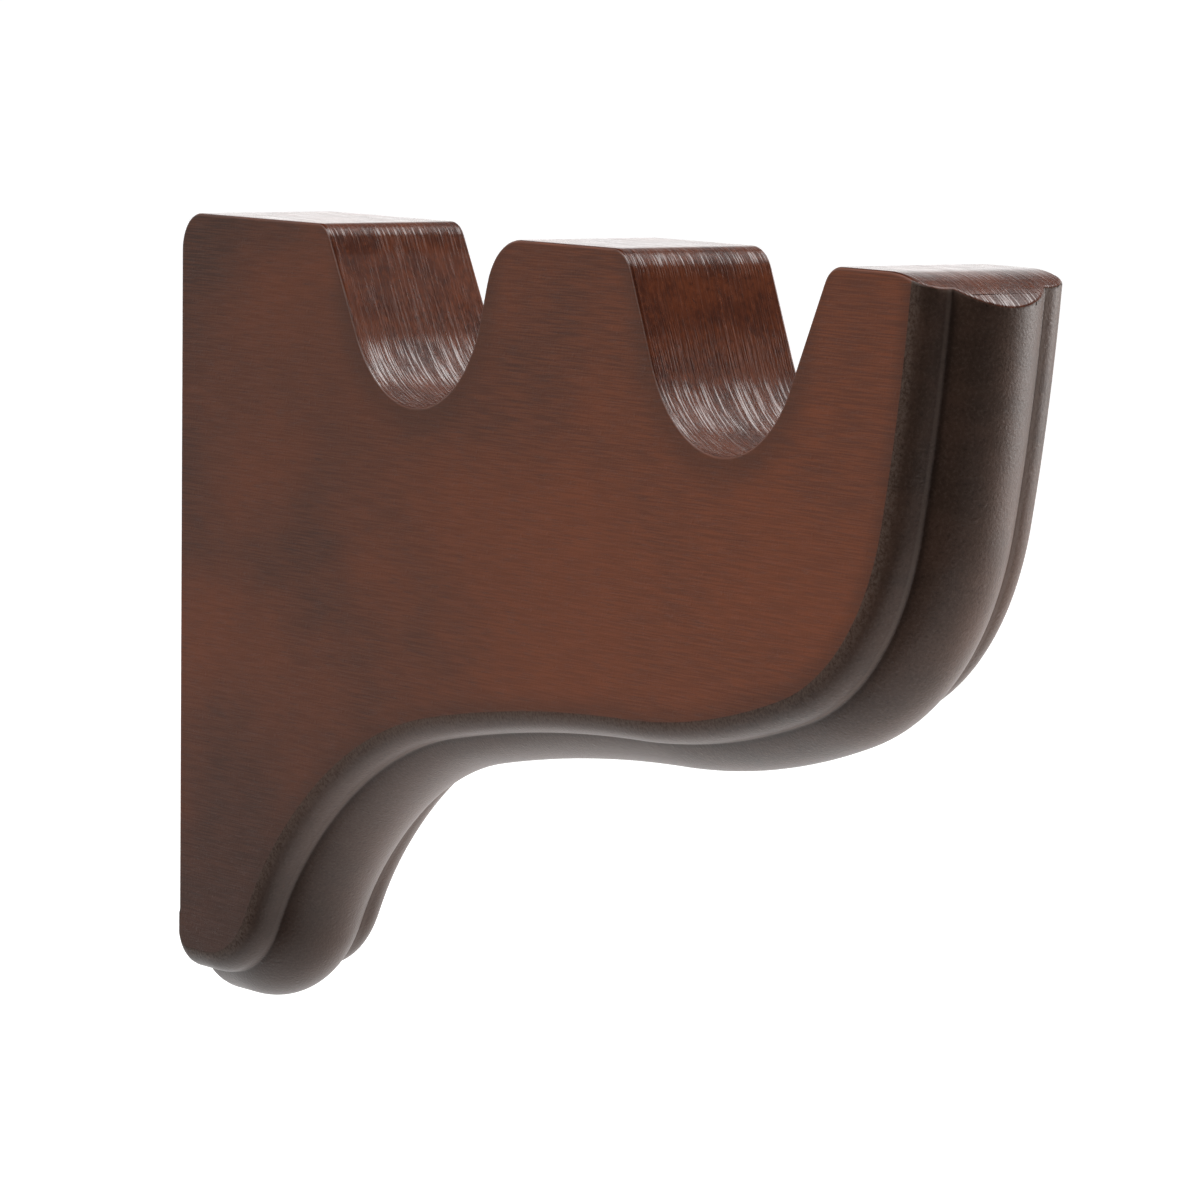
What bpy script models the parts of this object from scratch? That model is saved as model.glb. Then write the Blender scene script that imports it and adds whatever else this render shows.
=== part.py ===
"""Double curtain-pole wall bracket: a carved hardwood arm with two open pole seats and a moulded front
and underside, hung from a keyhole plate that is let into its wall edge with two small wood screws.

Metres. The origin is the middle of the flat wall edge. +X runs out from the wall, +Y across the
thickness and +Z up.
"""

import math

import bmesh
import bpy
from mathutils import Vector

GAP = 0.0003

# The arm is cut from one board.
THICKNESS = 0.022
TOP_Z = 0.055
TOE_Z = -0.0594
WALL_TOP_RADIUS = 0.0055
WALL_FOOT_RADIUS = 0.0025
CORNER_STEPS = 5

# The front and underside follow one line, from the wall at the foot, round the toe, along the hollow
# of the underside and up the front: (length, radius), radius positive where it turns upwards.
FRONT_LINE = (
    (0.0084, math.inf),
    (0.0218, 0.0210),
    (0.0123, -0.0490),
    (0.0458, -0.0745),
    (0.0513, -0.3406),
    (0.0408, 0.1463),
    (0.0408, 0.0403),
    (0.0391, 0.2534),
)

FRONT_STEPS = (1, 8, 3, 5, 4, 6, 9, 6)

# The moulding along that line: a bead between two round shoulders, with a nick at each side of the bead.
SHOULDER_RADIUS = 0.0038
SHOULDER_START = math.radians(10)
SHOULDER_END = math.radians(92)
SHOULDER_DEPTH = 0.0039
NICK_Y = 0.0040
NICK_DEPTH = 0.0043
SHOULDER_STEPS = 4
BEAD_STEPS = 8

# The top of the front horn is eased down towards its end.
DROOP_START_X = 0.186
DROOP_RADIUS = 0.020
DROOP_STEPS = 5

# The pole seats: centre, radius, the lean of each wall from upright, and the round at each mouth edge.
# The lowest SEAT_FLAT of each round bottom is one level facet, where a pole rests.
REAR_SEAT = {
    "x": 0.0684,
    "z": 0.0497,
    "radius": 0.0189,
    "lean": (math.radians(30.8), math.radians(18.8)),
    "mouth": (0.0037, 0.0091),
}
FRONT_SEAT = {
    "x": 0.1478,
    "z": 0.0480,
    "radius": 0.0185,
    "lean": (math.radians(24.7), math.radians(29.3)),
    "mouth": (0.0049, 0.0041),
}
SEAT_STEPS = 6
SEAT_FLAT = math.radians(10)
MOUTH_STEPS = 3

# The hanger: a keyhole plate, the pocket behind it for the wall screw's head, and two wood screws.
PLATE_THICKNESS = 0.0016
PLATE_WIDTH = 0.014
PLATE_LENGTH = 0.038
PLATE_Z = 0.026
KEYHOLE_ENTRY_Z = 0.021
KEYHOLE_TOP_Z = 0.031
KEYHOLE_ENTRY_RADIUS = 0.0048
KEYHOLE_SLOT_RADIUS = 0.0024
POCKET_WIDTH = 0.011
POCKET_DEPTH = 0.010
SCREW_LENGTH = 0.012
SCREW_SHANK_RADIUS = 0.0014
SCREW_HEAD_RADIUS = 0.0026
SCREW_HEAD_DEPTH = 0.0013
SCREW_TIP = 0.003
SCREW_SINK = 0.0001
SCREW_Z = {"upper": 0.0412, "lower": 0.0108}
CROSS_LENGTH = 0.0028
CROSS_WIDTH = 0.0007
CROSS_DEPTH = 0.0009
ROUND_STEPS = 20

ALONG_X = (0.0, math.radians(90), 0.0)
WOOD = {"colour": (0.107, 0.047, 0.030, 1.0), "roughness": 0.42, "metallic": 0.0}
STEEL = {"colour": (0.56, 0.55, 0.52, 1.0), "roughness": 0.35, "metallic": 1.0}


def clear_scene():
    for obj in list(bpy.data.objects):
        bpy.data.objects.remove(obj, do_unlink=True)


def material(name, finish):
    made = bpy.data.materials.new(name)
    made.use_nodes = True
    shader = made.node_tree.nodes["Principled BSDF"]
    shader.inputs["Base Color"].default_value = finish["colour"]
    shader.inputs["Roughness"].default_value = finish["roughness"]
    shader.inputs["Metallic"].default_value = finish["metallic"]
    return made


def new_object(name, mesh, finish=None):
    obj = bpy.data.objects.new(name, mesh)
    bpy.context.scene.collection.objects.link(obj)
    if finish:
        mesh.materials.append(finish)
    return obj


def mesh_from(name, bm):
    bmesh.ops.recalc_face_normals(bm, faces=bm.faces)
    mesh = bpy.data.meshes.new(name)
    bm.to_mesh(mesh)
    bm.free()
    return mesh


def smooth(obj, angle=30):
    obj.data.shade_smooth()
    obj.data.set_sharp_from_angle(angle=math.radians(angle))


def cut(target, cutter):
    cutter.hide_render = True
    cutter.display_type = "WIRE"
    boolean = target.modifiers.new("cut_" + cutter.name, "BOOLEAN")
    boolean.operation = "DIFFERENCE"
    boolean.object = cutter


# ---- the line of the front and underside -------------------------------------------------------


def on_front_line(distance):
    """(place, heading) in the XZ plane at a distance along the front line."""
    place, heading = Vector((0.0, TOE_Z)), 0.0
    for length, radius in FRONT_LINE:
        run = min(distance, length)
        turned = heading + run / radius
        if math.isinf(radius):
            place = place + run * Vector((math.cos(heading), math.sin(heading)))
        else:
            across = Vector((math.sin(turned) - math.sin(heading), math.cos(heading) - math.cos(turned)))
            place = place + radius * across
        distance -= run
        heading = turned
        if distance <= 0:
            break
    return place, heading


def moulding_point(distance, depth):
    """The point at a depth into the wood from the front line."""
    place, heading = on_front_line(distance)
    return place + depth * Vector((-math.sin(heading), math.cos(heading)))


def top_height(x):
    if x <= DROOP_START_X:
        return TOP_Z
    along = x - DROOP_START_X
    return TOP_Z - DROOP_RADIUS + math.sqrt(DROOP_RADIUS**2 - along**2)


def distance_at_top(depth):
    """Where the moulding at this depth meets the top of the horn."""
    low, high = sum(length for length, _ in FRONT_LINE[:-1]), sum(length for length, _ in FRONT_LINE)
    for _ in range(40):
        middle = (low + high) / 2
        point = moulding_point(middle, depth)
        if point.y < top_height(point.x):
            low = middle
        else:
            high = middle
    return low


def front_side(depth):
    """The front and underside at one depth, from the top of the horn down to the flat of the foot."""
    stops, start = [], WALL_FOOT_RADIUS
    lengths = [length for length, _ in FRONT_LINE]
    ends = [sum(lengths[: i + 1]) for i in range(len(lengths) - 1)] + [distance_at_top(depth)]
    for end, count in zip(ends, FRONT_STEPS):
        stops += [start + (end - start) * i / count for i in range(count)]
        start = end
    return [moulding_point(stop, depth) for stop in reversed(stops + [start])]


# ---- the top, the wall edge and the seats ------------------------------------------------------


def arc(centre, radius, start, end, steps):
    angles = [start + (end - start) * i / steps for i in range(steps + 1)]
    return [Vector(centre) + radius * Vector((math.cos(a), math.sin(a))) for a in angles]


def seat_outline(seat):
    """One seat and its two rounded mouth edges, from the horn side to the wall side."""
    centre = Vector((seat["x"], seat["z"]))
    wall_lean, horn_lean = seat["lean"]
    wall_mouth, horn_mouth = seat["mouth"]
    points = []
    for side, lean, mouth in ((1, horn_lean, horn_mouth), (-1, wall_lean, wall_mouth)):
        foot = centre + seat["radius"] * Vector((side * math.cos(lean), -math.sin(lean)))
        edge_x = foot.x + side * (TOP_Z - foot.y) * math.tan(lean)
        reach = mouth * math.tan((math.pi / 2 - lean) / 2)
        mouth_centre = (edge_x + side * reach, TOP_Z - mouth)
        flank = math.pi - lean if side > 0 else lean
        rounded = arc(mouth_centre, mouth, math.pi / 2, flank, MOUTH_STEPS)
        points.append(rounded if side > 0 else rounded[::-1])
    lowest = -math.pi / 2
    horn_half = arc(centre, seat["radius"], -horn_lean, lowest + SEAT_FLAT / 2, SEAT_STEPS)
    wall_half = arc(centre, seat["radius"], lowest - SEAT_FLAT / 2, wall_lean - math.pi, SEAT_STEPS)
    return points[0] + horn_half + wall_half + points[1]


def top_side(front_end):
    """The top from where the moulding meets it to the wall edge, and down to the foot."""
    run = front_end.x - DROOP_START_X
    droop = [front_end.x - run * i / DROOP_STEPS for i in range(1, DROOP_STEPS + 1)]
    points = [Vector((x, top_height(x))) for x in droop]
    points += seat_outline(FRONT_SEAT) + seat_outline(REAR_SEAT)
    corner = (WALL_TOP_RADIUS, TOP_Z - WALL_TOP_RADIUS)
    points += arc(corner, WALL_TOP_RADIUS, math.pi / 2, math.pi, CORNER_STEPS)
    return points


def foot_corner(depth):
    centre = (WALL_FOOT_RADIUS, TOE_Z + depth + WALL_FOOT_RADIUS)
    return arc(centre, WALL_FOOT_RADIUS, math.pi, 1.5 * math.pi, CORNER_STEPS)


def moulding_section():
    """(distance in from the side face, depth from the front line) across half the thickness."""
    span = SHOULDER_END - SHOULDER_START
    points = []
    for i in range(SHOULDER_STEPS + 1):
        angle = SHOULDER_START + span * i / SHOULDER_STEPS
        inset = SHOULDER_RADIUS * (math.cos(SHOULDER_START) - math.cos(angle))
        points.append((inset, SHOULDER_DEPTH + SHOULDER_RADIUS * (1 - math.sin(angle))))
    half_width = THICKNESS / 2 - NICK_Y
    radius = (half_width**2 + NICK_DEPTH**2) / (2 * NICK_DEPTH)
    half_angle = math.asin(half_width / radius)
    for i in range(BEAD_STEPS // 2 + 1):
        angle = half_angle * (1 - 2 * i / BEAD_STEPS)
        points.append((THICKNESS / 2 - radius * math.sin(angle), radius * (1 - math.cos(angle))))
    return points


def arm_ring(bm, y, depth):
    """The arm's whole outline where the moulding has this depth, as a ring of points at one y."""
    front = front_side(depth)
    outline = front + foot_corner(depth)[-2::-1] + top_side(front[0])[::-1]
    return [bm.verts.new((p.x, y, p.y)) for p in outline]


def join_flat_strips(bm):
    """The wall edge, the top and the seats run straight across the board, so each is one face there."""
    bmesh.ops.recalc_face_normals(bm, faces=bm.faces)
    bmesh.ops.dissolve_limit(bm, angle_limit=math.radians(0.05), verts=bm.verts, edges=bm.edges)


def arm_blank():
    half = moulding_section()
    near = [(inset - THICKNESS / 2, depth) for inset, depth in half]
    section = near + [(-y, depth) for y, depth in near[-2::-1]]
    bm = bmesh.new()
    rings = [arm_ring(bm, y, depth) for y, depth in section]
    for ring, after in zip(rings, rings[1:]):
        for i in range(len(ring)):
            j = (i + 1) % len(ring)
            bm.faces.new((ring[i], ring[j], after[j], after[i]))
    bm.faces.new(rings[0])
    bm.faces.new(rings[-1][::-1])
    join_flat_strips(bm)
    return mesh_from("arm", bm)


# ---- the hanger --------------------------------------------------------------------------------


def long_round(width, length, steps=ROUND_STEPS // 2):
    """An upright outline with half-round ends, as (y, z) about its own middle."""
    radius, reach = width / 2, (length - width) / 2
    return arc((0, reach), radius, 0, math.pi, steps) + arc((0, -reach), radius, math.pi, 2 * math.pi, steps)


def prism(name, outline, start_x, end_x, finish=None):
    """An outline in YZ, extruded along X."""
    bm = bmesh.new()
    face = bm.faces.new([bm.verts.new((start_x, y, z)) for y, z in outline])
    pushed = bmesh.ops.extrude_face_region(bm, geom=[face])
    verts = [item for item in pushed["geom"] if isinstance(item, bmesh.types.BMVert)]
    bmesh.ops.translate(bm, verts=verts, vec=(end_x - start_x, 0, 0))
    return new_object(name, mesh_from(name, bm), finish)


def turned(name, profile, finish=None):
    """A profile of (radius, height) points turned about the local Z axis, closed at both ends."""
    bm = bmesh.new()
    rings = []
    for radius, height in profile:
        angles = [2 * math.pi * i / ROUND_STEPS for i in range(ROUND_STEPS)]
        rings.append([bm.verts.new((radius * math.cos(a), radius * math.sin(a), height)) for a in angles])
    for ring, after in zip(rings, rings[1:]):
        for i in range(ROUND_STEPS):
            j = (i + 1) % ROUND_STEPS
            bm.faces.new((ring[i], ring[j], after[j], after[i]))
    bm.faces.new(rings[0])
    bm.faces.new(rings[-1])
    return new_object(name, mesh_from(name, bm), finish)


def keyhole_outline():
    """The entry hole with the narrow slot that rises from it, as (y, z)."""
    half = math.asin(KEYHOLE_SLOT_RADIUS / KEYHOLE_ENTRY_RADIUS)
    entry = arc((0, KEYHOLE_ENTRY_Z), KEYHOLE_ENTRY_RADIUS, math.pi / 2 + half, 2.5 * math.pi - half, 16)
    return entry + arc((0, KEYHOLE_TOP_Z), KEYHOLE_SLOT_RADIUS, 0, math.pi, 8)


def place(obj, z, x=0.0):
    obj.rotation_euler = ALONG_X
    obj.location = (x, 0.0, z)
    return obj


def hanger_plate(steel):
    outline = [(y, z + PLATE_Z) for y, z in long_round(PLATE_WIDTH, PLATE_LENGTH)]
    plate = prism("hanger_plate", outline, GAP, GAP + PLATE_THICKNESS, steel)
    keyhole = prism("keyhole_cutter", keyhole_outline(), -PLATE_THICKNESS, 3 * PLATE_THICKNESS)
    cut(plate, keyhole)
    for where, z in SCREW_Z.items():
        slope = (SCREW_HEAD_RADIUS - SCREW_SHANK_RADIUS) / SCREW_HEAD_DEPTH
        mouth = SCREW_HEAD_RADIUS + GAP + slope * (SCREW_SINK + PLATE_THICKNESS)
        throat = SCREW_SHANK_RADIUS + GAP
        throat_x = GAP + SCREW_SINK + SCREW_HEAD_DEPTH
        profile = ((mouth, GAP - PLATE_THICKNESS), (throat, throat_x), (throat, 3 * PLATE_THICKNESS))
        cut(plate, place(turned(where + "_sink_cutter", profile), z))
    return plate


def plate_screw(where, z, steel):
    head_x = GAP + SCREW_SINK
    profile = (
        (SCREW_HEAD_RADIUS, 0.0),
        (SCREW_SHANK_RADIUS, SCREW_HEAD_DEPTH),
        (SCREW_SHANK_RADIUS, SCREW_LENGTH - SCREW_TIP),
        (SCREW_SHANK_RADIUS / 6, SCREW_LENGTH),
    )
    screw = place(turned(where + "_plate_screw", profile, steel), z, head_x)
    smooth(screw)
    arms = ((CROSS_LENGTH, CROSS_WIDTH), (CROSS_WIDTH, CROSS_LENGTH))
    for i, (wide, tall) in enumerate(arms):
        corners = [(y * wide / 2, z + up * tall / 2) for y, up in ((1, 1), (-1, 1), (-1, -1), (1, -1))]
        cut(screw, prism(f"{where}_cross_cutter_{i}", corners, -CROSS_DEPTH, head_x + CROSS_DEPTH))
    return screw


def bracket_arm(wood):
    arm = new_object("bracket_arm", arm_blank(), wood)
    smooth(arm, 25)
    seat_depth = GAP + PLATE_THICKNESS + GAP
    recess = long_round(PLATE_WIDTH + 2 * GAP, PLATE_LENGTH + 2 * GAP)
    cut(arm, prism("plate_recess_cutter", [(y, z + PLATE_Z) for y, z in recess], -0.002, seat_depth))
    middle = (KEYHOLE_ENTRY_Z + KEYHOLE_TOP_Z) / 2
    pocket_length = KEYHOLE_TOP_Z - KEYHOLE_ENTRY_Z + POCKET_WIDTH
    pocket = [(y, z + middle) for y, z in long_round(POCKET_WIDTH, pocket_length)]
    cut(arm, prism("pocket_cutter", pocket, seat_depth / 2, seat_depth + POCKET_DEPTH))
    bore = SCREW_SHANK_RADIUS + GAP
    for where, z in SCREW_Z.items():
        profile = ((bore, seat_depth / 2), (bore, SCREW_LENGTH + 3 * GAP))
        cut(arm, place(turned(where + "_pilot_cutter", profile), z))
    return arm


def main():
    clear_scene()
    wood = material("stained_wood", WOOD)
    steel = material("zinc_plated_steel", STEEL)
    bracket_arm(wood)
    hanger_plate(steel)
    for where, z in SCREW_Z.items():
        plate_screw(where, z, steel)


main()
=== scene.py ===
import math

import bpy
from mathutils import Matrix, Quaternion, Vector


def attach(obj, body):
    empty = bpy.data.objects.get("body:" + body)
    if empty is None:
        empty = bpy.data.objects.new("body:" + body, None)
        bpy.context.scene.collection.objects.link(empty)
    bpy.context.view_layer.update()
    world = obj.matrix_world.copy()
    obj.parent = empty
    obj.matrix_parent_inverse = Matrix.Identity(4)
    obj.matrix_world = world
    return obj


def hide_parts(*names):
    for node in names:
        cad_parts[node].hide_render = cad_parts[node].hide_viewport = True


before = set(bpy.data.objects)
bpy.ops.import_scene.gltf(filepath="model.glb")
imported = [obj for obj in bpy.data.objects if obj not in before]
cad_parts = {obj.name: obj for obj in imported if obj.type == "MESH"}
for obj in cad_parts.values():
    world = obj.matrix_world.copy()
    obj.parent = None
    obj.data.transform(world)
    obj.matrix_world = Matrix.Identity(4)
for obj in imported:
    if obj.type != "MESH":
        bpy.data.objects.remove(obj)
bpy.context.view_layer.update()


# ---- The carved arm ----
# One board of close-grained hardwood, 22 mm thick: the seats and top are cut square across it, and the
# front and underside are run with a bead between two round shoulders. It is stained dark red-brown,
# with darker toning at the edges, and lacquered: satin on the faces and moulding, glossy on the cuts.


def node(tree, kind, inputs=None, **settings):
    """Adds one node, with its settings and with the values or links of its inputs."""
    added = tree.nodes.new(kind)
    for name, value in settings.items():
        setattr(added, name, value)
    for name, value in (inputs or {}).items():
        if isinstance(value, bpy.types.NodeSocket):
            tree.links.new(value, added.inputs[name])
        else:
            added.inputs[name].default_value = value
    return added


def sum_of(tree, operation, first, second, third=None):
    """The result of one Math node."""
    inputs = {0: first, 1: second}
    if third is not None:
        inputs[2] = third
    return node(tree, "ShaderNodeMath", inputs, operation=operation).outputs[0]


def between(tree, value, low, high, to_low=0.0, to_high=1.0):
    """A value eased from one range to another, held at both ends."""
    inputs = {"Value": value, "From Min": low, "From Max": high, "To Min": to_low, "To Max": to_high}
    ranged = node(tree, "ShaderNodeMapRange", inputs, interpolation_type="SMOOTHSTEP")
    return ranged.outputs["Result"]


def tinted(tree, factor, first, second):
    """Two colours mixed by a factor."""
    mixed = node(tree, "ShaderNodeMix", {0: factor, 6: first, 7: second}, data_type="RGBA")
    return mixed.outputs[2]


def new_group(name, inputs, outputs):
    """An empty node group with named sockets, as (group, its inputs, its output node)."""
    group = bpy.data.node_groups.new(name, "ShaderNodeTree")
    for socket, kind in inputs.items():
        group.interface.new_socket(socket, in_out="INPUT", socket_type=kind)
    for socket, kind in outputs.items():
        group.interface.new_socket(socket, in_out="OUTPUT", socket_type=kind)
    return group, group.nodes.new("NodeGroupInput").outputs, group.nodes.new("NodeGroupOutput")


def new_finish(name):
    """A material with its shader, and the place on the piece that its patterns are laid by."""
    material = bpy.data.materials.new(name)
    material.use_nodes = True
    tree = material.node_tree
    return material, tree, tree.nodes["Principled BSDF"], node(tree, "ShaderNodeTexCoord").outputs["Object"]


# Fine fibres: short broken dashes, long one way and hair-thin the other two.
fibres, given, out = new_group(
    "wood_fibres",
    {"Vector": "NodeSocketVector", "Fineness": "NodeSocketVector", "Wander": "NodeSocketFloat"},
    {"Dashes": "NodeSocketFloat", "Pores": "NodeSocketFloat"},
)
drift = node(fibres, "ShaderNodeTexNoise", {"Vector": given["Vector"], "Scale": 45.0, "Detail": 1.0})
pushed = node(
    fibres,
    "ShaderNodeVectorMath",
    {0: drift.outputs["Color"], 1: (0.5, 0.5, 0.5)},
    operation="SUBTRACT",
)
strayed = node(
    fibres,
    "ShaderNodeVectorMath",
    {0: pushed.outputs[0], "Scale": given["Wander"]},
    operation="SCALE",
)
bent = node(
    fibres,
    "ShaderNodeVectorMath",
    {0: given["Vector"], 1: strayed.outputs[0]},
    operation="ADD",
)
drawn_out = node(
    fibres,
    "ShaderNodeVectorMath",
    {0: bent.outputs[0], 1: given["Fineness"]},
    operation="MULTIPLY",
)
dash = node(fibres, "ShaderNodeTexNoise", {"Vector": drawn_out.outputs[0], "Scale": 1.0, "Detail": 3.0})
pore = node(
    fibres,
    "ShaderNodeTexNoise",
    {"Vector": drawn_out.outputs[0], "Scale": 2.3, "Detail": 1.0, "Roughness": 0.4},
)
fibres.links.new(dash.outputs["Fac"], out.inputs["Dashes"])
fibres.links.new(between(fibres, pore.outputs["Fac"], 0.60, 0.72), out.inputs["Pores"])

# Stain that took unevenly: soft clouds over the whole board, drawn out a little along the grain.
clouds, given, out = new_group(
    "stain_clouds",
    {"Vector": "NodeSocketVector"},
    {"Broad": "NodeSocketFloat", "Mottle": "NodeSocketFloat"},
)
laid = node(clouds, "ShaderNodeMapping", {"Vector": given["Vector"], "Scale": (14.0, 20.0, 27.0)})
broad = node(
    clouds,
    "ShaderNodeTexNoise",
    {"Vector": laid.outputs[0], "Scale": 1.0, "Detail": 3.0, "Roughness": 0.55, "Distortion": 0.4},
)
mottle = node(
    clouds,
    "ShaderNodeTexNoise",
    {"Vector": laid.outputs[0], "Scale": 7.0, "Detail": 4.0, "Roughness": 0.62},
)
clouds.links.new(broad.outputs["Fac"], out.inputs["Broad"])
clouds.links.new(mottle.outputs["Fac"], out.inputs["Mottle"])

# Sprayed lacquer: a slow roll with a fine orange peel and the odd nib of dust.
lacquer, given, out = new_group("lacquer_film", {"Vector": "NodeSocketVector"}, {"Height": "NodeSocketFloat"})
peel = node(lacquer, "ShaderNodeTexNoise", {"Vector": given["Vector"], "Scale": 2400.0, "Detail": 2.0})
roll = node(lacquer, "ShaderNodeTexNoise", {"Vector": given["Vector"], "Scale": 260.0, "Detail": 1.0})
nib = node(
    lacquer,
    "ShaderNodeTexVoronoi",
    {"Vector": given["Vector"], "Scale": 520.0, "Randomness": 1.0},
    feature="F1",
)
nibs = between(lacquer, nib.outputs["Distance"], 0.06, 0.20, 1.0, 0.0)
rolled = sum_of(lacquer, "MULTIPLY_ADD", roll.outputs["Fac"], 0.9, peel.outputs["Fac"])
lacquer.links.new(sum_of(lacquer, "MULTIPLY_ADD", nibs, 0.5, rolled), out.inputs["Height"])

# Darker toning sprayed round each seat: full at its rim, and gone a few millimetres away.
rim, given, out = new_group(
    "seat_toning",
    {"Vector": "NodeSocketVector", "Middle": "NodeSocketVector", "Radius": "NodeSocketFloat"},
    {"Toning": "NodeSocketFloat"},
)
offset = node(rim, "ShaderNodeVectorMath", {0: given["Vector"], 1: given["Middle"]}, operation="SUBTRACT")
offset = node(rim, "ShaderNodeSeparateXYZ", {0: offset.outputs[0]}).outputs
above = sum_of(rim, "MAXIMUM", offset["Z"], 0.0)
below = sum_of(rim, "MINIMUM", offset["Z"], 0.0)
sideways = sum_of(rim, "ABSOLUTE", offset["X"], 0.0)
sideways = sum_of(rim, "SUBTRACT", sideways, sum_of(rim, "MULTIPLY", above, 0.45))
away = sum_of(rim, "MULTIPLY_ADD", sideways, sideways, sum_of(rim, "MULTIPLY", below, below))
away = sum_of(rim, "SUBTRACT", sum_of(rim, "POWER", away, 0.5), given["Radius"])
rim.links.new(between(rim, away, 0.0004, 0.0060, 1.0, 0.0), out.inputs["Toning"])

# The flat faces, sanded fine along the grain.
face_finish, tree, shader, place = new_finish("stained_face")
grain = node(
    tree,
    "ShaderNodeGroup",
    {"Vector": place, "Fineness": (120.0, 900.0, 4600.0), "Wander": 0.0002},
    node_tree=fibres,
)
cloud = node(tree, "ShaderNodeGroup", {"Vector": place}, node_tree=clouds)
stain = tinted(
    tree,
    between(tree, cloud.outputs["Broad"], 0.34, 0.66),
    (0.058, 0.024, 0.015, 1),
    (0.133, 0.037, 0.015, 1),
)
spot = node(tree, "ShaderNodeSeparateXYZ", {0: place}).outputs
streaked = between(tree, grain.outputs["Dashes"], 0.36, 0.66)
to_horn = between(tree, spot["X"], 0.02, 0.16, 0.24, 0.52)
crisp = sum_of(tree, "MULTIPLY", streaked, to_horn)
stain = tinted(tree, crisp, stain, (0.240, 0.066, 0.024, 1))
stain = tinted(tree, sum_of(tree, "MULTIPLY", grain.outputs["Pores"], 0.5), stain, (0.034, 0.013, 0.008, 1))
toned = node(tree, "ShaderNodeAttribute", attribute_name="toning").outputs["Fac"]
for middle, radius in (((0.0684, 0, 0.0497), 0.0194), ((0.1478, 0, 0.0480), 0.0190)):
    seat_inputs = {"Vector": place, "Middle": middle, "Radius": radius}
    seat = node(tree, "ShaderNodeGroup", seat_inputs, node_tree=rim)
    toned = sum_of(tree, "MAXIMUM", toned, seat.outputs["Toning"])
# Painted shade: the side face is coloured darker towards the foot, as if lit from above.
painted_foot_shade = between(tree, spot["Z"], -0.060, -0.005, 0.70, 0.0)
# Painted light: the side face is coloured lighter towards the horn, where more light falls.
painted_horn_light = between(tree, spot["X"], 0.060, 0.170, 0.0, 0.26)
stain = tinted(tree, painted_horn_light, stain, (0.300, 0.072, 0.023, 1))
stain = tinted(tree, painted_foot_shade, stain, (0.044, 0.019, 0.013, 1))
stain = tinted(tree, sum_of(tree, "MULTIPLY", toned, 0.42), stain, (0.044, 0.021, 0.014, 1))
tree.links.new(stain, shader.inputs["Base Color"])
tree.links.new(between(tree, grain.outputs["Dashes"], 0.3, 0.7, 0.52, 0.44), shader.inputs["Roughness"])
film = node(tree, "ShaderNodeGroup", {"Vector": place}, node_tree=lacquer)
relief = sum_of(tree, "MULTIPLY_ADD", grain.outputs["Pores"], -0.8, film.outputs["Height"])
bump = node(tree, "ShaderNodeBump", {"Height": relief, "Strength": 0.25, "Distance": 0.0001})
tree.links.new(bump.outputs["Normal"], shader.inputs["Normal"])

# The seats and the top, where the cutter left lines that all run along the cut. Lacquer stands in beads
# along the finest of them.
cut_finish, tree, shader, place = new_finish("stained_cut")
grain = node(
    tree,
    "ShaderNodeGroup",
    {"Vector": place, "Fineness": (150.0, 4000.0, 150.0), "Wander": 0.0005},
    node_tree=fibres,
)
cloud = node(tree, "ShaderNodeGroup", {"Vector": place}, node_tree=clouds)
stain = tinted(
    tree,
    between(tree, cloud.outputs["Mottle"], 0.35, 0.65),
    (0.046, 0.0110, 0.0048, 1),
    (0.092, 0.0225, 0.0080, 1),
)
stain = tinted(
    tree,
    between(tree, grain.outputs["Dashes"], 0.38, 0.66, 0.0, 0.30),
    stain,
    (0.150, 0.040, 0.016, 1),
)
flecks = node(
    tree,
    "ShaderNodeTexNoise",
    {"Vector": place, "Scale": 1300.0, "Detail": 3.0, "Roughness": 0.65},
)
stain = tinted(
    tree,
    between(tree, flecks.outputs["Fac"], 0.50, 0.70, 0.0, 0.55),
    stain,
    (0.140, 0.037, 0.014, 1),
)
stain = tinted(
    tree,
    between(tree, flecks.outputs["Fac"], 0.30, 0.46, 0.50, 0.0),
    stain,
    (0.030, 0.009, 0.005, 1),
)
stain = tinted(
    tree,
    sum_of(tree, "MULTIPLY", grain.outputs["Pores"], 0.45),
    stain,
    (0.024, 0.009, 0.006, 1),
)
tree.links.new(stain, shader.inputs["Base Color"])
spot = node(tree, "ShaderNodeSeparateXYZ", {0: place}).outputs
height = spot["Z"]
planed = between(tree, height, 0.0540, 0.0549, 0.0, -0.04)
polish = between(tree, grain.outputs["Dashes"], 0.3, 0.7, 0.30, 0.18)
tree.links.new(sum_of(tree, "ADD", polish, planed), shader.inputs["Roughness"])
streaks = between(tree, grain.outputs["Dashes"], 0.50, 0.66)
in_seat = between(tree, height, 0.0535, 0.0548, 1.0, 0.0)
tree.links.new(sum_of(tree, "MULTIPLY", streaks, in_seat), shader.inputs["Coat Weight"])
shader.inputs["Specular IOR Level"].default_value = 0.32
shader.inputs["Coat IOR"].default_value = 1.8
shader.inputs["Coat Roughness"].default_value = 0.22
in_bottom = between(tree, height, 0.0350, 0.0480, 0.75, 0.06)
at_mouth = between(tree, height, 0.0495, 0.0545, 0.0, 0.40)
on_top = between(tree, height, 0.0540, 0.0549, 1.0, 0.12)
depth = sum_of(tree, "MAXIMUM", in_bottom, sum_of(tree, "MULTIPLY", at_mouth, on_top))
depth = sum_of(tree, "MULTIPLY", depth, between(tree, spot["X"], 0.176, 0.186, 1.0, 0.35))
relief = sum_of(tree, "MULTIPLY", grain.outputs["Dashes"], depth)
bump = node(tree, "ShaderNodeBump", {"Height": relief, "Strength": 1.0, "Distance": 0.00075})
tree.links.new(bump.outputs["Normal"], shader.inputs["Normal"])
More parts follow.
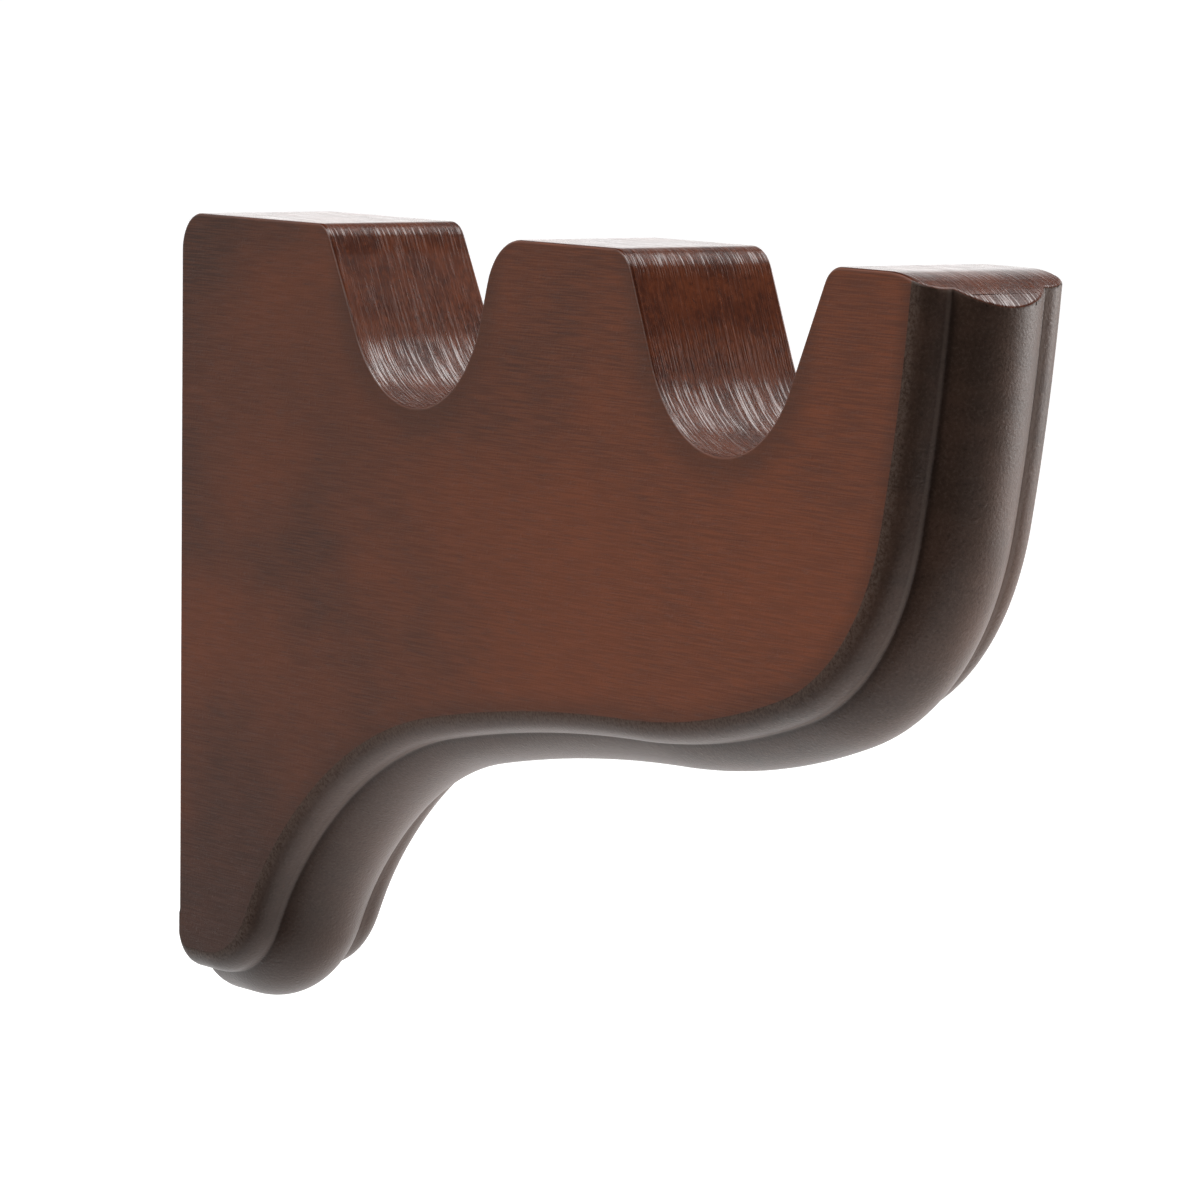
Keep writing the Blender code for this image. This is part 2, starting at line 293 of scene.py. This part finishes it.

# The moulding, toned darker with the spray gun. Shade is painted darker into the two coves, a highlight is
# painted paler along the lips beside them, and the arris is worn and painted a little paler as a sheen.
moulding_finish, tree, shader, place = new_finish("stained_moulding")
cloud = node(tree, "ShaderNodeGroup", {"Vector": place}, node_tree=clouds)
stain = tinted(
    tree,
    between(tree, cloud.outputs["Broad"], 0.35, 0.65),
    (0.046, 0.026, 0.018, 1),
    (0.070, 0.036, 0.024, 1),
)
stain = tinted(
    tree,
    between(tree, cloud.outputs["Mottle"], 0.40, 0.66, 0.0, 0.45),
    stain,
    (0.080, 0.043, 0.030, 1),
)
speckle = node(
    tree,
    "ShaderNodeTexNoise",
    {"Vector": place, "Scale": 2300.0, "Detail": 3.0, "Roughness": 0.7},
)
stain = tinted(
    tree,
    between(tree, speckle.outputs["Fac"], 0.50, 0.66, 0.0, 0.35),
    stain,
    (0.100, 0.066, 0.052, 1),
)
stain = tinted(
    tree,
    between(tree, speckle.outputs["Fac"], 0.30, 0.46, 0.45, 0.0),
    stain,
    (0.016, 0.009, 0.007, 1),
)
spot = node(tree, "ShaderNodeSeparateXYZ", {0: place}).outputs
across = sum_of(tree, "ABSOLUTE", spot["Y"], 0.0)
# Painted shade: the two coves are coloured darker.
from_cove = sum_of(tree, "ABSOLUTE", sum_of(tree, "SUBTRACT", across, 0.0067), 0.0)
painted_cove_shade = between(tree, from_cove, 0.0001, 0.0004, 0.35, 0.0)
stain = tinted(tree, painted_cove_shade, stain, (0.014, 0.008, 0.006, 1))
# Painted highlight: a pale line along the lip beside each cove.
from_lip = sum_of(tree, "ABSOLUTE", sum_of(tree, "SUBTRACT", across, 0.0073), 0.0)
painted_lip_highlight = between(tree, from_lip, 0.0001, 0.0005, 0.55, 0.0)
stain = tinted(tree, painted_lip_highlight, stain, (0.110, 0.078, 0.064, 1))
# Painted shade: the moulding is coloured darker towards the underside.
painted_underside_shade = between(tree, spot["Z"], -0.050, -0.012, 0.60, 0.0)
stain = tinted(tree, painted_underside_shade, stain, (0.026, 0.014, 0.010, 1))
# The arris is worn rough and a little paler, and its sheen is painted in as lighter colour.
rough_speckle = between(tree, speckle.outputs["Fac"], 0.36, 0.60)
at_arris = between(tree, across, 0.0102, 0.0109)
wear_and_sheen = sum_of(tree, "MULTIPLY", rough_speckle, at_arris)
stain = tinted(tree, sum_of(tree, "MULTIPLY", wear_and_sheen, 0.45), stain, (0.125, 0.090, 0.073, 1))
tree.links.new(stain, shader.inputs["Base Color"])
shader.inputs["Specular IOR Level"].default_value = 0.18
rubbed = between(tree, across, 0.0094, 0.0108)
tree.links.new(sum_of(tree, "MULTIPLY_ADD", rubbed, 0.08, 0.42), shader.inputs["Roughness"])
film = node(tree, "ShaderNodeGroup", {"Vector": place}, node_tree=lacquer)
relief = sum_of(tree, "MULTIPLY_ADD", speckle.outputs["Fac"], 0.9, film.outputs["Height"])
bump = node(tree, "ShaderNodeBump", {"Height": relief, "Strength": 0.40, "Distance": 0.00010})
tree.links.new(bump.outputs["Normal"], shader.inputs["Normal"])

# The hidden wall edge: stained with the rest, but only sawn and wiped.
sawn_finish, tree, shader, place = new_finish("stained_sawn_edge")
saw_lines = node(
    tree,
    "ShaderNodeGroup",
    {"Vector": place, "Fineness": (900.0, 60.0, 1300.0), "Wander": 0.0008},
    node_tree=fibres,
)
cloud = node(tree, "ShaderNodeGroup", {"Vector": place}, node_tree=clouds)
stain = tinted(
    tree,
    between(tree, cloud.outputs["Broad"], 0.35, 0.65),
    (0.060, 0.024, 0.015, 1),
    (0.110, 0.040, 0.020, 1),
)
stain = tinted(
    tree,
    between(tree, saw_lines.outputs["Dashes"], 0.3, 0.7, 0.0, 0.5),
    stain,
    (0.16, 0.066, 0.034, 1),
)
tree.links.new(stain, shader.inputs["Base Color"])
shader.inputs["Roughness"].default_value = 0.62
sawn = {"Height": saw_lines.outputs["Dashes"], "Strength": 0.5, "Distance": 0.0002}
bump = node(tree, "ShaderNodeBump", sawn)
tree.links.new(bump.outputs["Normal"], shader.inputs["Normal"])

# Inside the routed recess and the bores the wood is bare, with a little overspray.
bare_finish, tree, shader, place = new_finish("bare_routed_wood")
router_lines = node(
    tree,
    "ShaderNodeGroup",
    {"Vector": place, "Fineness": (250.0, 900.0, 1100.0), "Wander": 0.0015},
    node_tree=fibres,
)
wood = tinted(
    tree,
    between(tree, router_lines.outputs["Dashes"], 0.3, 0.7),
    (0.25, 0.135, 0.068, 1),
    (0.40, 0.240, 0.130, 1),
)
tree.links.new(wood, shader.inputs["Base Color"])
shader.inputs["Roughness"].default_value = 0.75
routed = {"Height": router_lines.outputs["Dashes"], "Strength": 0.6, "Distance": 0.0002}
bump = node(tree, "ShaderNodeBump", routed)
tree.links.new(bump.outputs["Normal"], shader.inputs["Normal"])


half_thickness = 0.011
top_z = 0.055
toe_z = -0.0594


def pen_down(name, place):
    """Starts a piece as one point, in edit mode, ready to be drawn on from."""
    bpy.ops.object.select_all(action="DESELECT")
    bpy.ops.mesh.primitive_plane_add(size=0.01)
    piece = bpy.context.object
    piece.name = name
    piece.data.name = name
    bpy.ops.object.mode_set(mode="EDIT")
    bpy.ops.mesh.select_mode(type="VERT")
    bpy.ops.mesh.merge(type="CENTER")
    bpy.ops.transform.translate(value=place)
    return piece


def pen():
    """Where the drawn point is."""
    bpy.context.object.update_from_editmode()
    return next(vertex.co.copy() for vertex in bpy.context.object.data.vertices if vertex.select)


def draw_by(step):
    bpy.ops.mesh.extrude_region_move(TRANSFORM_OT_translate={"value": step})


def draw_to(place):
    draw_by(Vector(place) - pen())


def draw_round(centre, degrees, steps, axis=(0, 1, 0)):
    """Draws an arc. With the usual axis, a positive angle turns from the wall's side up and round."""
    bpy.ops.mesh.spin(steps=steps, angle=math.radians(degrees), center=centre, axis=axis)


def push_outline(step):
    """Closes the drawn outline, fills it and gives it a depth."""
    bpy.ops.mesh.select_all(action="SELECT")
    bpy.ops.mesh.remove_doubles(threshold=0.00001)
    bpy.ops.mesh.edge_face_add()
    draw_by(step)
    bpy.ops.mesh.select_all(action="SELECT")
    bpy.ops.mesh.normals_make_consistent(inside=False)
    bpy.ops.object.mode_set(mode="OBJECT")


def select_edges(piece, wanted):
    """In edit mode, selects the edges that pass a test of their two ends."""
    bpy.ops.mesh.select_mode(type="EDGE")
    bpy.ops.mesh.select_all(action="DESELECT")
    bpy.ops.object.mode_set(mode="OBJECT")
    places = [vertex.co for vertex in piece.data.vertices]
    for edge in piece.data.edges:
        edge.select = wanted(places[edge.vertices[0]], places[edge.vertices[1]])
    bpy.ops.object.mode_set(mode="EDIT")


def select_open_edges():
    """In edit mode, selects the edges that border an opening."""
    bpy.ops.mesh.select_mode(type="EDGE")
    bpy.ops.mesh.select_all(action="DESELECT")
    bpy.ops.mesh.select_non_manifold(
        use_wire=False,
        use_multi_face=False,
        use_non_contiguous=False,
        use_verts=False,
    )


def open_up(piece):
    """Goes into edit mode on one piece alone, with all of it selected."""
    bpy.ops.object.select_all(action="DESELECT")
    piece.select_set(True)
    bpy.context.view_layer.objects.active = piece
    bpy.ops.object.mode_set(mode="EDIT")
    bpy.ops.mesh.select_all(action="SELECT")


def shade_evenly(piece):
    """Smooths the shading of the piece just worked on, and lets its large faces stay flat."""
    bpy.ops.object.shade_smooth_by_angle(angle=math.radians(35))
    weighted = piece.modifiers.new("weighted", "WEIGHTED_NORMAL")
    weighted.keep_sharp = True
    bpy.ops.object.modifier_apply(modifier="weighted")


def take_away(piece, cutter, finish):
    """Cuts a shape out of a piece. The cut faces get a finish of their own."""
    cutter.data.materials.clear()
    cutter.data.materials.append(finish)
    bpy.ops.object.select_all(action="DESELECT")
    bpy.context.view_layer.objects.active = piece
    cut = piece.modifiers.new("cut", "BOOLEAN")
    cut.operation = "DIFFERENCE"
    cut.solver = "EXACT"
    cut.material_mode = "TRANSFER"
    cut.object = cutter
    bpy.ops.object.modifier_apply(modifier="cut")
    bpy.data.objects.remove(cutter, do_unlink=True)


# The section of the moulding, with a narrow band of each face: shoulder, cove, bead, cove, shoulder.
# Its places are (across, depth in from the crest of the bead).
shoulder = (0.0076186, 0.0073)
cove = (0.0069529, 0.0036)
cove_depth = 0.0039
bead_radius = 0.0078477
band_depth = 0.00994
arm = pen_down("carved_arm", (0.0, -half_thickness, band_depth))
draw_to((0, -half_thickness, 0.0069446))
draw_round((0, -shoulder[0], shoulder[1]), 84, 9, (-1, 0, 0))
draw_to((0, -cove[0], cove_depth))
draw_round((0, -cove[0], cove[1]), -58.58, 5, (-1, 0, 0))
draw_round((0, 0, bead_radius), 117.16, 24, (-1, 0, 0))
draw_round((0, cove[0], cove[1]), -58.58, 5, (-1, 0, 0))
draw_to((0, shoulder[0], cove_depth))
draw_round((0, shoulder[0], shoulder[1]), 84, 9, (-1, 0, 0))
draw_to((0, half_thickness, band_depth))

# It runs round the foot corner, along under the foot and then through the bends of the underside and
# front: each bend is a length and a radius, positive where it turns upwards.
bpy.ops.mesh.select_all(action="SELECT")
foot_corner = 0.0025
bpy.ops.transform.translate(value=(0, 0, toe_z + foot_corner))
for step in range(5):
    start = math.radians(18 * step)
    end = math.radians(18 * step + 18)
    along = foot_corner * (math.cos(start) - math.cos(end))
    draw_by((along, 0, foot_corner * (math.sin(start) - math.sin(end))))
draw_by((0.0059, 0, 0))
crest = Vector((0.0084, 0, toe_z))
heading = 0.0
for length, radius in (
    (0.0218, 0.0210),
    (0.0123, -0.0490),
    (0.0458, -0.0745),
    (0.0513, -0.3406),
    (0.0408, 0.1463),
    (0.0408, 0.0403),
    (0.0391, 0.2534),
):
    centre = crest + radius * Vector((-math.sin(heading), 0, math.cos(heading)))
    turn = length / radius
    draw_round(centre, math.degrees(turn), max(6, round(length / 0.0014)))
    crest = centre - radius * Vector((-math.sin(heading + turn), 0, math.cos(heading + turn)))
    heading += turn
bpy.ops.object.mode_set(mode="OBJECT")
arm.data.materials.append(moulding_finish)
arm.data.materials.append(face_finish)
arm.data.materials.append(sawn_finish)
arm.data.materials.append(cut_finish)
arm.data.materials.append(bare_finish)

# The sides rise from its edge to over the top, where the board is closed. Each side, and the wall edge,
# becomes one face, apart from the band along the moulding, which holds the toning.
bpy.ops.object.mode_set(mode="EDIT")
select_open_edges()
draw_by((0, 0, 0.001))
bpy.ops.transform.resize(value=(1, 1, 0), center_override=(0, 0, crest.z + 0.012))
bpy.ops.mesh.edge_face_add()
bpy.ops.mesh.select_all(action="SELECT")
bpy.ops.mesh.remove_doubles(threshold=0.000001)
bpy.ops.mesh.dissolve_degenerate(threshold=0.00001)
bpy.ops.mesh.normals_make_consistent(inside=False)
bpy.ops.mesh.select_mode(type="FACE")
bpy.ops.mesh.select_all(action="DESELECT")
bpy.ops.object.mode_set(mode="OBJECT")
for face in arm.data.polygons:
    reaches_top = max(arm.data.vertices[v].co.z for v in face.vertices) > crest.z + 0.011
    if abs(face.normal.y) > 0.999:
        face.material_index = 1
        face.select = reaches_top
    elif face.normal.x < -0.999:
        face.material_index = 2
        face.select = reaches_top
bpy.ops.object.mode_set(mode="EDIT")
bpy.ops.mesh.dissolve_limited(angle_limit=math.radians(0.05))
bpy.ops.object.mode_set(mode="OBJECT")


def draw_seat(x, z, radius, wall_lean, horn_lean, wall_mouth, horn_mouth):
    """Draws one pole seat, from the top on its wall side, round the bottom, to the top on its horn side."""
    wall_slope = math.radians(wall_lean)
    horn_slope = math.radians(horn_lean)
    wall_foot = Vector((x - radius * math.cos(wall_slope), z - radius * math.sin(wall_slope)))
    horn_foot = Vector((x + radius * math.cos(horn_slope), z - radius * math.sin(horn_slope)))
    reach = wall_mouth * math.tan(math.radians(90 - wall_lean) / 2)
    mouth_x = wall_foot.x - (top_z - wall_foot.y) * math.tan(wall_slope) - reach
    draw_to((mouth_x, pen().y, top_z))
    draw_round((mouth_x, 0, top_z - wall_mouth), wall_lean - 90, 8)
    draw_to((wall_foot.x, pen().y, wall_foot.y))
    draw_round((x, 0, z), 180 - wall_lean - horn_lean, 44)
    reach = horn_mouth * math.tan(math.radians(90 - horn_lean) / 2)
    mouth_x = horn_foot.x + (top_z - horn_foot.y) * math.tan(horn_slope) + reach
    mouth_foot = top_z - horn_mouth + horn_mouth * math.sin(horn_slope)
    draw_to((mouth_x - horn_mouth * math.cos(horn_slope), pen().y, mouth_foot))
    draw_round((mouth_x, 0, top_z - horn_mouth), horn_lean - 90, 10)


# The top is cut in one pass: the rounded wall corner, the two seats and the droop of the horn.
wall_corner = 0.0055
top_cutter = pen_down("top_cutter", (-0.010, -0.020, top_z - wall_corner))
draw_to((0.0, -0.020, top_z - wall_corner))
draw_round((wall_corner, 0, top_z - wall_corner), -90, 14)
draw_seat(
    x=0.0684,
    z=0.0497,
    radius=0.0189,
    wall_lean=30.8,
    horn_lean=18.8,
    wall_mouth=0.0037,
    horn_mouth=0.0091,
)
draw_seat(
    x=0.1478,
    z=0.0480,
    radius=0.0185,
    wall_lean=24.7,
    horn_lean=29.3,
    wall_mouth=0.0049,
    horn_mouth=0.0041,
)
droop_x = 0.186
droop_radius = 0.020
draw_to((droop_x, -0.020, top_z))
draw_round((droop_x, 0, top_z - droop_radius), -60, 16)
draw_to((0.230, -0.020, pen().z))
draw_to((0.230, -0.020, 0.110))
draw_to((-0.010, -0.020, 0.110))
draw_to((-0.010, -0.020, top_z - wall_corner))
push_outline((0, 0.040, 0))
take_away(arm, top_cutter, cut_finish)


plate_z = 0.026
screw_heights = (0.0412, 0.0108)


def long_round(name, x, width, length, depth, steps=24):
    """An upright flat bar with half-round ends, at the plate's height and pushed out from the wall."""
    reach = (length - width) / 2
    bar = pen_down(name, (x, width / 2, plate_z - reach))
    draw_by((0, 0, 2 * reach))
    draw_round((x, 0, plate_z + reach), 180, steps, (-1, 0, 0))
    draw_by((0, 0, -2 * reach))
    draw_round((x, 0, plate_z - reach), 180, steps, (-1, 0, 0))
    push_outline((depth, 0, 0))
    return bar


def bore(piece, x, z, radius, depth, vertices, finish):
    """Drills a straight hole away from the wall, with its middle at x."""
    bpy.ops.object.select_all(action="DESELECT")
    bpy.ops.mesh.primitive_cylinder_add(
        vertices=vertices,
        radius=radius,
        depth=depth,
        location=(x, 0, z),
        rotation=(0, math.radians(90), 0),
    )
    bpy.ops.object.transform_apply()
    take_away(piece, bpy.context.object, finish)


# The recess for the hanger plate, the pocket behind its keyhole, and two pilot holes.
recess_cutter = long_round("recess_cutter", x=-0.002, width=0.0146, length=0.0386, depth=0.0042)
take_away(arm, recess_cutter, bare_finish)
pocket_cutter = long_round("pocket_cutter", x=0.001, width=0.011, length=0.021, depth=0.0112)
take_away(arm, pocket_cutter, bare_finish)
for z in screw_heights:
    bore(arm, x=0.00695, z=z, radius=0.0017, depth=0.0119, vertices=32, finish=bare_finish)

# The square edges are eased with sandpaper, apart from those in the recess and round the foot.
easing = 0.0005
open_up(arm)
bpy.ops.mesh.remove_doubles(threshold=0.000002)
bpy.ops.mesh.select_mode(type="EDGE")
bpy.ops.mesh.select_all(action="DESELECT")
bpy.ops.mesh.edges_select_sharp(sharpness=math.radians(32))
bpy.ops.object.mode_set(mode="OBJECT")
places = [vertex.co for vertex in arm.data.vertices]
for edge in arm.data.edges:
    a, b = (places[v] for v in edge.vertices)
    in_recess = max(abs(a.y), abs(b.y)) < 0.0080 and max(a.x, b.x) < 0.015
    round_foot = min(a.z, b.z) < toe_z + 0.0094 and max(a.x, b.x) < 0.012
    if in_recess or round_foot:
        edge.select = False
bpy.ops.object.mode_set(mode="EDIT")
bpy.ops.mesh.bevel(offset=easing, segments=4, affect="EDGES", clamp_overlap=False, loop_slide=False)
bpy.ops.object.mode_set(mode="OBJECT")
toned = {v for face in arm.data.polygons if face.material_index == 0 for v in face.vertices}
toning = arm.data.attributes.new("toning", "FLOAT", "POINT")
toning.data.foreach_set("value", [float(vertex.index in toned) for vertex in arm.data.vertices])
shade_evenly(arm)
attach(arm, "root")
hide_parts("bracket_arm")


# ---- The hanger plate ----
# A keyhole plate stamped from 1.6 mm zinc plated steel, let in flush at the wall edge. The wall screw's
# head goes in at the round hole and the arm drops until the screw sits at the top of the slot.

# Barrel plating: a faint cloudy bloom, with short scuffs from tumbling against other parts.
plating, given, out = new_group(
    "barrel_plating",
    {"Vector": "NodeSocketVector"},
    {"Bloom": "NodeSocketFloat", "Scuffs": "NodeSocketFloat"},
)
bloom = node(plating, "ShaderNodeTexNoise", {"Vector": given["Vector"], "Scale": 320.0, "Detail": 4.0})
turned = node(plating, "ShaderNodeMapping", {"Vector": given["Vector"], "Rotation": (0.6, 0.2, 0.4)})
drawn = node(plating, "ShaderNodeMapping", {"Vector": turned.outputs[0], "Scale": (300.0, 4200.0, 380.0)})
scuff = node(plating, "ShaderNodeTexNoise", {"Vector": drawn.outputs[0], "Scale": 1.0, "Detail": 2.0})
plating.links.new(bloom.outputs["Fac"], out.inputs["Bloom"])
plating.links.new(between(plating, scuff.outputs["Fac"], 0.45, 0.72), out.inputs["Scuffs"])

plate_finish, tree, shader, place = new_finish("zinc_plate")
plated = node(tree, "ShaderNodeGroup", {"Vector": place}, node_tree=plating)
zinc = tinted(tree, plated.outputs["Bloom"], (0.50, 0.51, 0.52, 1), (0.66, 0.64, 0.58, 1))
zinc = tinted(tree, sum_of(tree, "MULTIPLY", plated.outputs["Scuffs"], 0.4), zinc, (0.74, 0.74, 0.73, 1))
tree.links.new(zinc, shader.inputs["Base Color"])
shader.inputs["Metallic"].default_value = 1.0
tree.links.new(between(tree, plated.outputs["Bloom"], 0.3, 0.7, 0.26, 0.44), shader.inputs["Roughness"])
scuffed = {"Height": plated.outputs["Scuffs"], "Strength": 0.3, "Distance": 0.00005}
bump = node(tree, "ShaderNodeBump", scuffed)
tree.links.new(bump.outputs["Normal"], shader.inputs["Normal"])

plate = long_round("keyhole_plate", x=0.0003, width=0.0140, length=0.0380, depth=0.0016, steps=32)
plate.data.materials.append(plate_finish)

# The keyhole: a slot under a half round, let into a larger round hole that the screw head passes.
slot_half_width = 0.0024
slot_z = 0.031
head_hole_z = 0.021
head_hole_radius = 0.0048
keyhole = pen_down("keyhole_cutter", (-0.002, slot_half_width, slot_z))
draw_round((-0.002, 0, slot_z), 180, 24, (-1, 0, 0))
draw_to((-0.002, -slot_half_width, head_hole_z + head_hole_radius * math.cos(math.radians(30))))
draw_round((-0.002, 0, head_hole_z), 300, 48, (-1, 0, 0))
draw_to((-0.002, slot_half_width, slot_z))
push_outline((0.006, 0, 0))
take_away(plate, keyhole, plate_finish)
for z in screw_heights:
    bpy.ops.object.select_all(action="DESELECT")
    bpy.ops.mesh.primitive_cone_add(
        vertices=48,
        radius1=0.0044,
        radius2=0.0017,
        depth=0.0030,
        location=(0.0002, 0, z),
        rotation=(0, math.radians(90), 0),
    )
    bpy.ops.object.transform_apply()
    take_away(plate, bpy.context.object, plate_finish)
    bore(plate, x=0.001, z=z, radius=0.0017, depth=0.006, vertices=48, finish=plate_finish)


def on_outer_rim(a, b):
    """True for an edge of the outer face that isn't on a countersink."""
    in_countersink = abs(a.y) < 0.0036 and min(abs(a.z - z) for z in screw_heights) < 0.0046
    return max(a.x, b.x) < 0.00031 and not in_countersink


# The punch leaves the edges of the outer face rolled over.
roll_over = 0.00022
open_up(plate)
bpy.ops.mesh.remove_doubles(threshold=0.000002)
bpy.ops.mesh.dissolve_limited(angle_limit=math.radians(0.05))
select_edges(plate, on_outer_rim)
bpy.ops.mesh.bevel(offset=roll_over, segments=3, affect="EDGES", clamp_overlap=False, loop_slide=False)
bpy.ops.object.mode_set(mode="OBJECT")
shade_evenly(plate)
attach(plate, "root")
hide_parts("hanger_plate")


# ---- The plate screws ----
# Two short countersunk wood screws of zinc plated steel, cold headed and thread rolled, cross recessed.
# They are driven through the plate into pilot holes in the wall edge.
screw_finish, tree, shader, place = new_finish("zinc_screw")
plated = node(tree, "ShaderNodeGroup", {"Vector": place}, node_tree=plating)
zinc = tinted(tree, plated.outputs["Bloom"], (0.55, 0.55, 0.55, 1), (0.70, 0.67, 0.60, 1))
tree.links.new(zinc, shader.inputs["Base Color"])
shader.inputs["Metallic"].default_value = 1.0
tree.links.new(between(tree, plated.outputs["Scuffs"], 0.0, 1.0, 0.36, 0.24), shader.inputs["Roughness"])

# Head, plain neck, thread core and point, turned round the screw's own line.
screw = pen_down("upper_screw", (0.0004, 0, 0))
for x, radius in (
    (0.0004, 0.00242),
    (0.00046, 0.00254),
    (0.00058, 0.00246),
    (0.0017, 0.00140),
    (0.0038, 0.00134),
    (0.0042, 0.00100),
    (0.0098, 0.00096),
    (0.0124, 0.00002),
    (0.0124, 0.0),
):
    draw_to((x, 0, radius))
bpy.ops.mesh.select_all(action="SELECT")
bpy.ops.mesh.spin(steps=40, angle=math.radians(360), center=(0, 0, 0), axis=(1, 0, 0))
bpy.ops.mesh.select_all(action="SELECT")
bpy.ops.mesh.remove_doubles(threshold=0.000005)
bpy.ops.mesh.normals_make_consistent(inside=False)
bpy.ops.object.mode_set(mode="OBJECT")
screw.data.materials.append(screw_finish)

# The cross recess narrows towards its floor.
for wide, tall in ((0.0028, 0.0007), (0.0007, 0.0028)):
    bpy.ops.object.select_all(action="DESELECT")
    bpy.ops.mesh.primitive_cube_add(size=1, location=(0.0007, 0, 0), scale=(0.0011, wide, tall))
    bpy.ops.object.transform_apply()
    recess = bpy.context.object
    bpy.ops.object.mode_set(mode="EDIT")
    bpy.ops.mesh.select_all(action="DESELECT")
    bpy.ops.object.mode_set(mode="OBJECT")
    for vertex in recess.data.vertices:
        vertex.select = vertex.co.x > 0.0007
    bpy.ops.object.mode_set(mode="EDIT")
    bpy.ops.mesh.select_mode(type="VERT")
    bpy.ops.transform.resize(value=(1, 0.55, 0.55), center_override=(0.00125, 0, 0))
    bpy.ops.object.mode_set(mode="OBJECT")
    take_away(screw, recess, screw_finish)

# The rolled thread: one sharp ridge wound round the core.
thread = pen_down("thread", (0.0040, 0, 0.00090))
draw_to((0.0044, 0, 0.00138))
draw_to((0.0048, 0, 0.00090))
bpy.ops.mesh.select_all(action="SELECT")
bpy.ops.mesh.edge_face_add()
bpy.ops.mesh.delete(type="ONLY_FACE")
bpy.ops.object.mode_set(mode="OBJECT")
winding = thread.modifiers.new("winding", "SCREW")
winding.axis = "X"
winding.screw_offset = 0.0010
winding.iterations = 5
winding.steps = 28
winding.render_steps = 28
bpy.ops.object.modifier_apply(modifier="winding")
bpy.ops.object.mode_set(mode="EDIT")
select_open_edges()
bpy.ops.mesh.fill()
bpy.ops.mesh.select_all(action="SELECT")
bpy.ops.mesh.normals_make_consistent(inside=False)
bpy.ops.object.mode_set(mode="OBJECT")
thread.data.materials.append(screw_finish)
bpy.ops.object.select_all(action="DESELECT")
thread.select_set(True)
screw.select_set(True)
bpy.context.view_layer.objects.active = screw
bpy.ops.object.join()
bpy.ops.object.shade_smooth_by_angle(angle=math.radians(30))

lower_screw = screw.copy()
lower_screw.data = screw.data.copy()
lower_screw.name = "lower_screw"
bpy.context.scene.collection.objects.link(lower_screw)
for piece, node_name, z, turn in (
    (screw, "upper_plate_screw", screw_heights[0], 24),
    (lower_screw, "lower_plate_screw", screw_heights[1], -13),
):
    open_up(piece)
    bpy.ops.transform.rotate(
        value=math.radians(turn),
        orient_axis="X",
        center_override=(0, 0, 0),
    )
    bpy.ops.transform.translate(value=(0, 0, z))
    bpy.ops.object.mode_set(mode="OBJECT")
    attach(piece, "root")
    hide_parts(node_name)


# ---- The stage ----
# A pale table top and a pale room. The light is broad and soft: a wide overhead one, one behind at the
# right and a large fill in the dim front of the room, with a glow low down beyond the wall.
bpy.ops.object.select_all(action="DESELECT")
bpy.ops.mesh.primitive_plane_add(size=60, location=(-29.4, 29.85, -0.24))
floor = bpy.context.object
floor.name = "floor"
floor_paint, tree, shader, place = new_finish("floor_paint")
shader.inputs["Base Color"].default_value = (0.92, 0.92, 0.92, 1)
shader.inputs["Emission Color"].default_value = (1, 1, 1, 1)
shader.inputs["Emission Strength"].default_value = 0.40
shader.inputs["Roughness"].default_value = 0.9
shader.inputs["Specular IOR Level"].default_value = 0.0
floor.data.materials.append(floor_paint)

room = bpy.data.worlds.new("room")
bpy.context.scene.world = room
room.use_nodes = True
room_nodes = room.node_tree
heading_to = node(room_nodes, "ShaderNodeTexCoord").outputs["Generated"]
towards_wall = node(
    room_nodes,
    "ShaderNodeVectorMath",
    {0: heading_to, 1: (-0.65, 0.76, 0.0)},
    operation="DOT_PRODUCT",
)
upward = node(room_nodes, "ShaderNodeSeparateXYZ", {0: heading_to}).outputs["Z"]
wall_light = between(room_nodes, towards_wall.outputs["Value"], 0.2, 0.85, 0.0, 1.0)
low_light = between(room_nodes, upward, 0.10, 0.60, 1.55, 0.05)
glow = sum_of(room_nodes, "MULTIPLY_ADD", wall_light, low_light, 0.05)
seen = node(room_nodes, "ShaderNodeLightPath").outputs["Is Camera Ray"]
shown = node(room_nodes, "ShaderNodeMix", {0: seen, 2: glow, 3: 1.05}, data_type="FLOAT")
room_nodes.links.new(shown.outputs[0], room_nodes.nodes["Background"].inputs["Strength"])
room_nodes.nodes["Background"].inputs["Color"].default_value = (1, 1, 1, 1)

bpy.context.scene.view_settings.view_transform = "Standard"


def soft_light(name, place, aim, width, height, power):
    """A large rectangular softbox that faces a point."""
    bpy.ops.object.light_add(type="AREA", location=place)
    light = bpy.context.object
    light.name = name
    light.data.shape = "RECTANGLE"
    light.data.size = width
    light.data.size_y = height
    light.data.energy = power
    light.rotation_euler = (Vector(aim) - Vector(place)).to_track_quat("-Z", "Y").to_euler()
    return light


soft_light("front_fill", (-0.25, -1.3, 1.65), aim=(0.1, 0, 0), width=1.3, height=1.0, power=45)
soft_light("back_right", (0.60, 1.3, 0.05), aim=(0.17, 0, 0), width=0.9, height=0.8, power=28)
bpy.ops.object.light_add(type="SUN", location=(0, 0, 3))
overhead = bpy.context.object
overhead.name = "overhead"
overhead.rotation_euler = Vector((0.0, 0.36, 0.93)).to_track_quat("Z", "Y").to_euler()
overhead.data.energy = 1.9
overhead.data.angle = math.radians(50)

bpy.ops.object.camera_add(location=(0.91548, -0.49265, 0.09655))
camera = bpy.context.object
camera.name = "camera"
camera.data.lens = 213
camera.data.sensor_width = 36
camera.data.clip_start = 0.01
camera.data.clip_end = 200
looking = Vector((0.1186, -0.0110, 0.0085)) - camera.location
camera.rotation_mode = "QUATERNION"
camera.rotation_quaternion = looking.to_track_quat("-Z", "Y") @ Quaternion((0, 0, 1), math.radians(0.56))
bpy.context.scene.camera = camera
